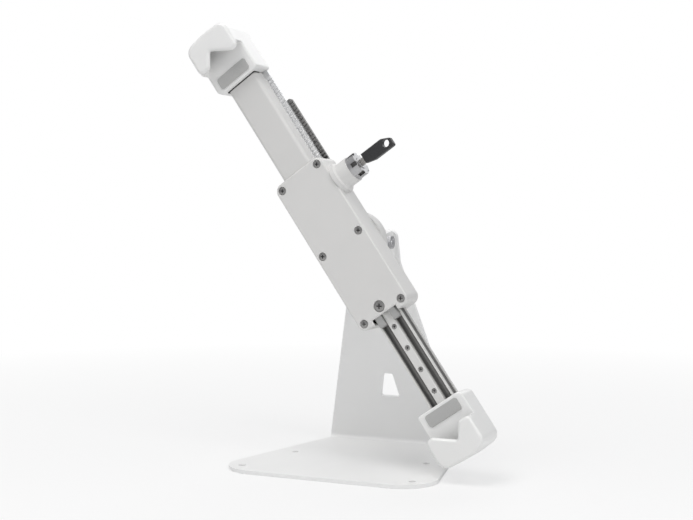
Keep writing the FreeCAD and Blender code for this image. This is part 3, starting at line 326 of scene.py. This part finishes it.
# Painted shade: the arms' paint and the shell's plastic are a greyer white than the clips and base,
# their own tone deepened by painted shade.
shaded_arm_paint = coated("shaded arm paint", (0.70, 0.695, 0.685), (0.67, 0.665, 0.655),
                   grain=900.0, depth=0.015 * MM, rough=0.36, coat=0.15)
shaded_shell_plastic = coated("shaded shell plastic", (0.71, 0.705, 0.695), (0.685, 0.68, 0.67),
                       grain=2300.0, depth=0.02 * MM, rough=0.45)
clip_plastic = coated("clip plastic", (0.85, 0.85, 0.845), (0.83, 0.83, 0.82),
                      grain=1800.0, depth=0.008 * MM, rough=0.33, edge=0.4 * MM, coat=0.2)
grey_plastic = coated("grey plastic", (0.42, 0.42, 0.415), (0.38, 0.38, 0.375),
                      grain=1800.0, depth=0.02 * MM, rough=0.5)
zinc = plated("bright zinc", (0.95, 0.955, 0.96), (0.84, 0.845, 0.855), 0.44, ARM_LEAN)
dark_steel = plated("dark steel", (0.37, 0.365, 0.36), (0.22, 0.215, 0.21), 0.42, ARM_LEAN)
# Painted shade: near-black steel for the faces cut by the screw heads' cross recesses, where shade
# falls.
shaded_recess_steel = plated("shaded recess steel", (0.10, 0.097, 0.095), (0.05, 0.05, 0.05), 0.5)
plain_steel = plated("plain steel", (0.62, 0.62, 0.63), (0.45, 0.45, 0.46), 0.34)
screw_steel = plated("screw steel", (0.46, 0.455, 0.45), (0.30, 0.295, 0.29), 0.36)
key_metal = plated("key nickel", (0.74, 0.72, 0.68), (0.55, 0.53, 0.50), 0.3, ARM_LEAN)
rubber = grainy("rubber", (0.44, 0.44, 0.435), (0.54, 0.54, 0.53),
                grain=1600.0, depth=0.04 * MM, rough=0.75)
black_plastic = grainy("black plastic", (0.022, 0.022, 0.023), (0.085, 0.085, 0.086),
                       grain=2200.0, depth=0.02 * MM, rough=0.42)
friction = grainy("friction lining", (0.06, 0.055, 0.05), (0.14, 0.13, 0.12),
                  grain=900.0, depth=0.05 * MM, rough=0.8)
lock_metal = turned_metal()
rail_paint_and_shade = rail_paint_and_groove_shade()

FINISH = {
    "powder_coat": powder_coat,
    "white_metal": shaded_arm_paint,
    "white_plastic": shaded_shell_plastic,
    "clip_plastic": clip_plastic,
    "grey_plastic": grey_plastic,
    "black_plastic": black_plastic,
    "rubber": rubber,
    "friction": friction,
    "steel": plain_steel,
    "screw_steel": screw_steel,
    "zinc": zinc,
    "dark_steel": dark_steel,
    "lock_metal": lock_metal,
    "key_metal": key_metal,
}


# Dressing of the CAD nodes: their materials and their rounded edges

# Widths of the rounded edges that each moulded, cut or pressed piece has
EDGE_WIDTHS = {
    "rear_housing": 0.5 * MM,
    "front_cover": 0.3 * MM,
    "stand_frame": 0.4 * MM,
    "tilt_clevis": 0.4 * MM,
    "swivel_plate": 0.4 * MM,
    "key_head": 0.5 * MM,
    "lock_barrel": 0.25 * MM,
    "upper_arm_channel": 0.3 * MM,
    "upper_clip_back": 0.3 * MM,
    "lower_clip_back": 0.3 * MM,
    "upper_floor_pad": 1.0 * MM,
    "lower_floor_pad": 1.0 * MM,
}
EDGE_SEGMENTS = 3
EDGE_FROM = math.radians(28)
FLAT_WITHIN = math.radians(0.5)

# The clips' soft form: how fine it is, how often smoothed and how much is kept
CLIP_GRAIN = 0.4 * MM
CLIP_SMOOTHINGS = 30
CLIP_SHARE_KEPT = 0.25


def weld(piece):
    """Join the faces of a CAD solid along their shared edges."""
    joined = piece.modifiers.new("weld", "WELD")
    joined.merge_threshold = WELD_DISTANCE


def soften_form(piece):
    """Give a moulded piece the soft edges of a pebble, inside and out."""
    weld(piece)
    fine = piece.modifiers.new("fine skin", "REMESH")
    fine.mode = "VOXEL"
    fine.voxel_size = CLIP_GRAIN
    fine.use_smooth_shade = True
    smooth = piece.modifiers.new("soft form", "SMOOTH")
    smooth.factor = 0.5
    smooth.iterations = CLIP_SMOOTHINGS
    light = piece.modifiers.new("lighter mesh", "DECIMATE")
    light.ratio = CLIP_SHARE_KEPT


def round_edges(piece, width):
    """Round a solid's sharp edges for real."""
    weld(piece)
    flat = piece.modifiers.new("flat faces", "DECIMATE")
    flat.decimate_type = "DISSOLVE"
    flat.angle_limit = FLAT_WITHIN
    bevel = piece.modifiers.new("round edges", "BEVEL")
    bevel.width = width
    bevel.segments = EDGE_SEGMENTS
    bevel.limit_method = "ANGLE"
    bevel.angle_limit = EDGE_FROM
    bevel.use_clamp_overlap = True
    bevel.harden_normals = True
    piece.modifiers.new("even normals", "WEIGHTED_NORMAL")


for part in frame["record"]["subparts"]:
    cad = nodes[part["node"]]
    cad.data.materials.clear()
    cad.data.materials.append(FINISH[part["material_slot"]])
nodes["lower_arm_rail"].data.materials[0] = rail_paint_and_shade
nodes["lower_arm_backbone"].data.materials[0] = shaded_arm_paint
for name, width in EDGE_WIDTHS.items():
    round_edges(nodes[name], width)
for name in ("upper_clip_body", "lower_clip_body"):
    soften_form(nodes[name])


# Turned and cut small pieces that stand for plain CAD fasteners

def solid_boxes(name):
    """Lowest and highest corner of each separate solid of a CAD node."""
    mesh = bmesh.new()
    mesh.from_mesh(nodes[name].data)
    bmesh.ops.remove_doubles(mesh, verts=mesh.verts, dist=WELD_DISTANCE)
    waiting = set(mesh.verts)
    boxes = []
    while waiting:
        group = []
        rim = [waiting.pop()]
        while rim:
            vert = rim.pop()
            group.append(vert.co.copy())
            for edge in vert.link_edges:
                other = edge.other_vert(vert)
                if other in waiting:
                    waiting.remove(other)
                    rim.append(other)
        boxes.append((Vector([min(co[i] for co in group) for i in range(3)]),
                      Vector([max(co[i] for co in group) for i in range(3)])))
    mesh.free()
    return boxes


def pointing(axis, place):
    """Matrix that stands a piece's Z along an axis at a place."""
    matrix = axis.to_track_quat("Z", "X").to_matrix().to_4x4()
    matrix.translation = place
    return matrix


def add_ends(mesh, lower, upper):
    """Close a piece at its lowest and its highest ring of points."""
    mesh.faces.new(list(reversed(lower)))
    mesh.faces.new(upper)


def add_sides(mesh, lower, upper):
    """Walls between two rings of as many points."""
    count = len(lower)
    for step in range(count):
        after = (step + 1) % count
        mesh.faces.new((lower[step], lower[after], upper[after], upper[step]))


HEX_HALF_ANGLE = math.pi / 6


def turned(mesh, profile, place, axis, sides, flats=None, bored=False):
    """Turn (radius, height) points about an axis, cut to a hexagon.

    A bored piece's profile is a loop, and others are closed by flat ends.
    A third value slopes a hexagon's end, from its flats to its corners.
    """
    matrix = pointing(axis, place)
    rings = []
    for radius, height, *slope in profile:
        ring = []
        for step in range(sides):
            angle = 2 * math.pi * step / sides
            size, rise = radius, 0.0
            if flats is not None:
                past_flat = (angle + HEX_HALF_ANGLE) % (2 * HEX_HALF_ANGLE) - HEX_HALF_ANGLE
                size = min(radius, flats / 2 / math.cos(past_flat))
                rise = sum(slope) * (size - flats / 2)
            point = Vector((size * math.cos(angle), size * math.sin(angle), height + rise))
            ring.append(mesh.verts.new(matrix @ point))
        rings.append(ring)
    for lower, upper in zip(rings, rings[1:] + (rings[:1] if bored else [])):
        add_sides(mesh, lower, upper)
    if not bored:
        add_ends(mesh, rings[0], rings[-1])


def make_piece(name, mesh, material, body, replaced):
    """Turn a mesh into a piece that rides a body in place of CAD nodes."""
    bmesh.ops.recalc_face_normals(mesh, faces=mesh.faces)
    data = bpy.data.meshes.new(name)
    mesh.to_mesh(data)
    mesh.free()
    data.materials.append(material)
    piece = bpy.data.objects.new(name, data)
    bpy.context.scene.collection.objects.link(piece)
    for face in data.polygons:
        face.use_smooth = True
    data.set_sharp_from_angle(angle=SHADED_SMOOTH_UP_TO)
    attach(piece, body)
    if replaced:
        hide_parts(*replaced)
    return piece


def cross_cutters(tops, axis, radius, thick):
    """Tapered crosses that sink into screw heads from their tops."""
    arm, width, depth = radius * 0.6, radius * 0.3, thick * 0.7
    mesh = bmesh.new()
    for top in tops:
        for spin in (0, math.pi / 2):
            matrix = pointing(axis, top) @ Matrix.Rotation(spin, 4, "Z")
            rings = []
            for height, half_long, half_wide in ((-depth, arm * 0.55, width * 0.35),
                                                 (depth, arm * 1.25, width * 0.5)):
                rings.append([mesh.verts.new(matrix @ Vector((x * half_long, y * half_wide, height)))
                              for x, y in ((-1, -1), (1, -1), (1, 1), (-1, 1))])
            add_ends(mesh, *rings)
            add_sides(mesh, *rings)
    bmesh.ops.recalc_face_normals(mesh, faces=mesh.faces)
    return mesh


def carve(piece, cutter_mesh):
    """Cut the cutter's volume out of a piece and keep the result."""
    data = bpy.data.meshes.new("cutter")
    cutter_mesh.to_mesh(data)
    cutter_mesh.free()
    # The cut faces take near-black steel: painted shade inside the cross recesses.
    data.materials.append(shaded_recess_steel)
    cutter = bpy.data.objects.new("cutter", data)
    bpy.context.scene.collection.objects.link(cutter)
    cut = piece.modifiers.new("cut", "BOOLEAN")
    cut.operation = "DIFFERENCE"
    cut.solver = "EXACT"
    cut.use_self = True
    cut.material_mode = "TRANSFER"
    cut.object = cutter
    result = piece.evaluated_get(bpy.context.evaluated_depsgraph_get())
    carved = bpy.data.meshes.new_from_object(result)
    piece.modifiers.clear()
    piece.data = carved
    carved.set_sharp_from_angle(angle=SHADED_SMOOTH_UP_TO)
    bpy.data.objects.remove(cutter)


def dome(radius, thick):
    """Side view of a screw head: straight rim, round shoulder, low dome."""
    points = [(0.0, 0.0), (radius * 0.96, 0.0), (radius, thick * 0.08), (radius, thick * 0.35)]
    for step in range(1, 7):
        angle = math.radians(15 * step)
        points.append((radius * (0.82 + 0.18 * math.cos(angle)),
                       thick * (0.35 + 0.45 * math.sin(angle))))
    points.append((radius * 0.45, thick * 0.95))
    points.append((radius * 0.12, thick))
    return points


HEAD_SIDES = 40
HEAD_THICK = 1.3 * MM
CASE_HEAD_RADIUS = 3.0 * MM
CLAMP_HEAD_RADIUS = 4.25 * MM
RAIL_HEAD_RADIUS = 2.0 * MM
CLEVIS_HEAD_RADIUS = 3.8 * MM
CLEVIS_HEAD_THICK = 2.2 * MM


def screws(node, body, axis, radius, thick=HEAD_THICK, material=screw_steel):
    """Domed screws with cross recesses in place of a node's plain heads."""
    middles = [(low + high) / 2 for low, high in solid_boxes(node)]
    mesh = bmesh.new()
    for middle in middles:
        turned(mesh, dome(radius, thick), middle - axis * thick / 2, axis, HEAD_SIDES)
    piece = make_piece(node + "_dressed", mesh, material, body, [node])
    tops = [middle + axis * thick / 2 for middle in middles]
    carve(piece, cross_cutters(tops, axis, radius, thick))


screws("cover_screws", "holder", FRONT, CASE_HEAD_RADIUS)
screws("clamp_screw", "holder", FRONT, CLAMP_HEAD_RADIUS)
screws("lower_rail_screws", "lower_arm", FRONT, RAIL_HEAD_RADIUS)
screws("upper_clip_screws", "upper_arm", -FRONT, CASE_HEAD_RADIUS)
screws("lower_clip_screws", "lower_arm", -FRONT, CASE_HEAD_RADIUS)
screws("clevis_screws", "stand", OUT_OF_UPRIGHT, CLEVIS_HEAD_RADIUS, CLEVIS_HEAD_THICK,
       plain_steel)


BOLT_RADIUS = 3.0 * MM
BOLT_HEAD_THICK = 4.0 * MM
BOLT_TIP = 0.8 * MM
THREAD_PITCH = 1.0 * MM
THREAD_LENGTH = 9.0 * MM
BORE_PLAY = 0.05 * MM
WASHER_RADIUS = 6.4 * MM
TURNED_SIDES = 72
NUT_FLATS = 10.0 * MM
HEX_FACE = NUT_FLATS * 0.49
HEX_EASE = 0.06 * MM
HEX_CORNER = NUT_FLATS / 2 / math.cos(HEX_HALF_ANGLE)
HEX_SLOPE = math.tan(HEX_HALF_ANGLE)


def thread(start, end):
    """Side view of a thread's crests and roots between two heights."""
    points = []
    for turn in range(int((end - start) / THREAD_PITCH)):
        crest = start + turn * THREAD_PITCH
        points.append((BOLT_RADIUS, crest))
        points.append((BOLT_RADIUS, crest + THREAD_PITCH * 0.15))
        points.append((BOLT_RADIUS - THREAD_PITCH * 0.5, crest + THREAD_PITCH * 0.5))
        points.append((BOLT_RADIUS, crest + THREAD_PITCH * 0.95))
    return points


def hex_bolt(node, body, axis):
    """Chamfered hexagon head and a shank whose end is threaded."""
    low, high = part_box(node)
    length = abs((high - low).dot(axis))
    profile = [
        (HEX_FACE, 0), (HEX_CORNER, HEX_EASE, HEX_SLOPE), (HEX_CORNER, BOLT_HEAD_THICK),
        (BOLT_RADIUS, BOLT_HEAD_THICK),
        *thread(length - THREAD_LENGTH, length - BOLT_TIP),
        (BOLT_RADIUS - BOLT_TIP, length),
    ]
    mesh = bmesh.new()
    head_end = (low + high) / 2 - axis * length / 2
    turned(mesh, profile, head_end, axis, TURNED_SIDES, NUT_FLATS)
    make_piece(node + "_turned", mesh, plain_steel, body, [node])


def ring_pieces(node, body, axis, outer, material, flats=None):
    """Washers and nuts: bored, with the edges of both faces eased."""
    mesh = bmesh.new()
    bore = BOLT_RADIUS + BORE_PLAY
    for low, high in solid_boxes(node):
        thick = abs((high - low).dot(axis))
        ease = thick * 0.1
        face = HEX_FACE if flats else outer - ease
        edge = HEX_EASE if flats else ease
        slope = HEX_SLOPE if flats else 0.0
        profile = [
            (bore + ease, 0), (face, 0), (outer, edge, slope), (outer, thick - edge, -slope),
            (face, thick), (bore + ease, thick), (bore, thick - ease), (bore, ease),
        ]
        start = (low + high) / 2 - axis * thick / 2
        turned(mesh, profile, start, axis, TURNED_SIDES, flats, bored=True)
    make_piece(node + "_turned", mesh, material, body, [node])


hex_bolt("hinge_bolt", "stand", SIDEWAYS)
hex_bolt("swivel_bolt", "holder", -FRONT)
ring_pieces("hinge_nut", "stand", SIDEWAYS, HEX_CORNER, plain_steel, NUT_FLATS)
ring_pieces("swivel_nut", "holder", FRONT, HEX_CORNER, plain_steel, NUT_FLATS)
ring_pieces("swivel_washer", "holder", FRONT, WASHER_RADIUS, plain_steel)
ring_pieces("hinge_friction_washers", "stand", SIDEWAYS, WASHER_RADIUS, friction)


# Painted shadow at the upper clip's mouth: a thin black strip around the front and sides of the
# channel stands for the shadow in the gap there

SHADOW_STRIP_THICK = 0.5 * MM
SHADOW_STRIP_OUT = 0.6 * MM
SHADOW_STRIP_IN = 0.4 * MM
SHADOW_STRIP_ROUNDING = 0.15 * MM


def make_mouth_shadow_strip():
    left, right = reach("upper_arm_channel", ACROSS_ARMS)
    front, back = reach("upper_arm_channel", -FRONT)
    mouth, _ = reach("upper_clip_body", ALONG_ARMS)
    end = front + (back - front) * 0.6
    outline = [
        (left - SHADOW_STRIP_THICK, front - SHADOW_STRIP_THICK), (right + SHADOW_STRIP_THICK, front - SHADOW_STRIP_THICK),
        (right + SHADOW_STRIP_THICK, end), (right, end), (right, front),
        (left, front), (left, end), (left - SHADOW_STRIP_THICK, end),
    ]
    mesh = bmesh.new()
    rings = [[mesh.verts.new(ACROSS_ARMS * x - FRONT * y + ALONG_ARMS * z) for x, y in outline]
             for z in (mouth + SHADOW_STRIP_IN, mouth - SHADOW_STRIP_OUT)]
    add_ends(mesh, *rings)
    add_sides(mesh, *rings)
    bmesh.ops.bevel(mesh, geom=mesh.edges[:], offset=SHADOW_STRIP_ROUNDING, segments=2, affect="EDGES")
    # The strip is black: painted shadow in the gap where the channel enters the clip.
    make_piece("upper_clip_mouth_shadow", mesh, black_plastic, "upper_arm", [])


make_mouth_shadow_strip()


# Floor, backdrop colour, light and camera

FLOOR_SIZE = 8.0
WHITE = (1.0, 1.0, 1.0, 1.0)
LIGHT_FROM_AROUND = 0.42
LIT_PLACE = Vector((0, 0, 0.15))
CAMERA_PLACE = (0.3960, -0.8982, 0.1998)
CAMERA_DOWN = 2.22
CAMERA_ASIDE = 24.37


def make_floor():
    """Pale floor that fades to white away from the object."""
    bpy.ops.mesh.primitive_plane_add(size=FLOOR_SIZE, location=(0, 0, 0))
    floor = bpy.context.object
    floor.name = "floor"
    g = Graph("pale floor")
    tone = g.mix(g.noise(3.0, 2.0), (0.86, 0.86, 0.86), (0.88, 0.88, 0.88))
    g.link(tone, g.shader.inputs["Base Color"])
    g.set("Roughness", 0.75)
    g.set("Specular IOR Level", 0.2)
    glow = g.node("ShaderNodeEmission")
    glow.inputs["Color"].default_value = WHITE
    path = g.node("ShaderNodeLightPath")
    far = g.span(g.away((0, 0, 0), (0, 0, 1)), 0.5, 1.0, 0.15, 0.9)
    seen = g.maths("MULTIPLY", path.outputs["Is Camera Ray"], far)
    blend = g.node("ShaderNodeMixShader")
    g.link(seen, blend.inputs["Fac"])
    g.link(g.shader.outputs[0], blend.inputs[1])
    g.link(glow.outputs[0], blend.inputs[2])
    g.link(blend.outputs[0], g.tree.nodes["Material Output"].inputs["Surface"])
    floor.data.materials.append(g.material)


def make_world():
    """White backdrop for the camera and a softer light from all around."""
    world = bpy.data.worlds.new("studio")
    bpy.context.scene.world = world
    world.use_nodes = True
    tree = world.node_tree
    light = tree.nodes["Background"]
    light.inputs["Color"].default_value = (0.97, 0.98, 1.0, 1.0)
    light.inputs["Strength"].default_value = LIGHT_FROM_AROUND
    seen = tree.nodes.new("ShaderNodeBackground")
    seen.inputs["Color"].default_value = WHITE
    seen.inputs["Strength"].default_value = 1.0
    path = tree.nodes.new("ShaderNodeLightPath")
    mix = tree.nodes.new("ShaderNodeMixShader")
    tree.links.new(path.outputs["Is Camera Ray"], mix.inputs["Fac"])
    tree.links.new(light.outputs[0], mix.inputs[1])
    tree.links.new(seen.outputs[0], mix.inputs[2])
    tree.links.new(mix.outputs[0], tree.nodes["World Output"].inputs["Surface"])


def area_light(name, place, size, power, colour=(1, 1, 1)):
    """Rectangular lamp that faces the object."""
    data = bpy.data.lights.new(name, "AREA")
    data.shape = "RECTANGLE"
    data.size, data.size_y = size
    data.energy = power
    data.color = colour
    lamp = bpy.data.objects.new(name, data)
    bpy.context.scene.collection.objects.link(lamp)
    lamp.location = place
    aim = LIT_PLACE - Vector(place)
    lamp.rotation_euler = aim.to_track_quat("-Z", "Y").to_euler()


def make_camera():
    """The photo's camera, found from the tablet's outline."""
    data = bpy.data.cameras.new("camera")
    data.sensor_width = 36.0
    data.lens = 64.0
    data.clip_start, data.clip_end = 0.05, 30.0
    camera = bpy.data.objects.new("camera", data)
    bpy.context.scene.collection.objects.link(camera)
    camera.location = CAMERA_PLACE
    camera.rotation_euler = (math.radians(90 - CAMERA_DOWN), 0, math.radians(CAMERA_ASIDE))
    bpy.context.scene.camera = camera


make_floor()
make_world()
area_light("top", (-0.3, -0.5, 1.5), (1.0, 1.0), 12.0, (1.0, 0.99, 0.975))
area_light("side", (1.1, -0.7, 0.9), (0.8, 0.8), 6.0)
area_light("back", (-0.2, 1.3, 1.0), (1.2, 0.8), 4.0)
make_camera()
bpy.context.scene.view_settings.view_transform = "Standard"
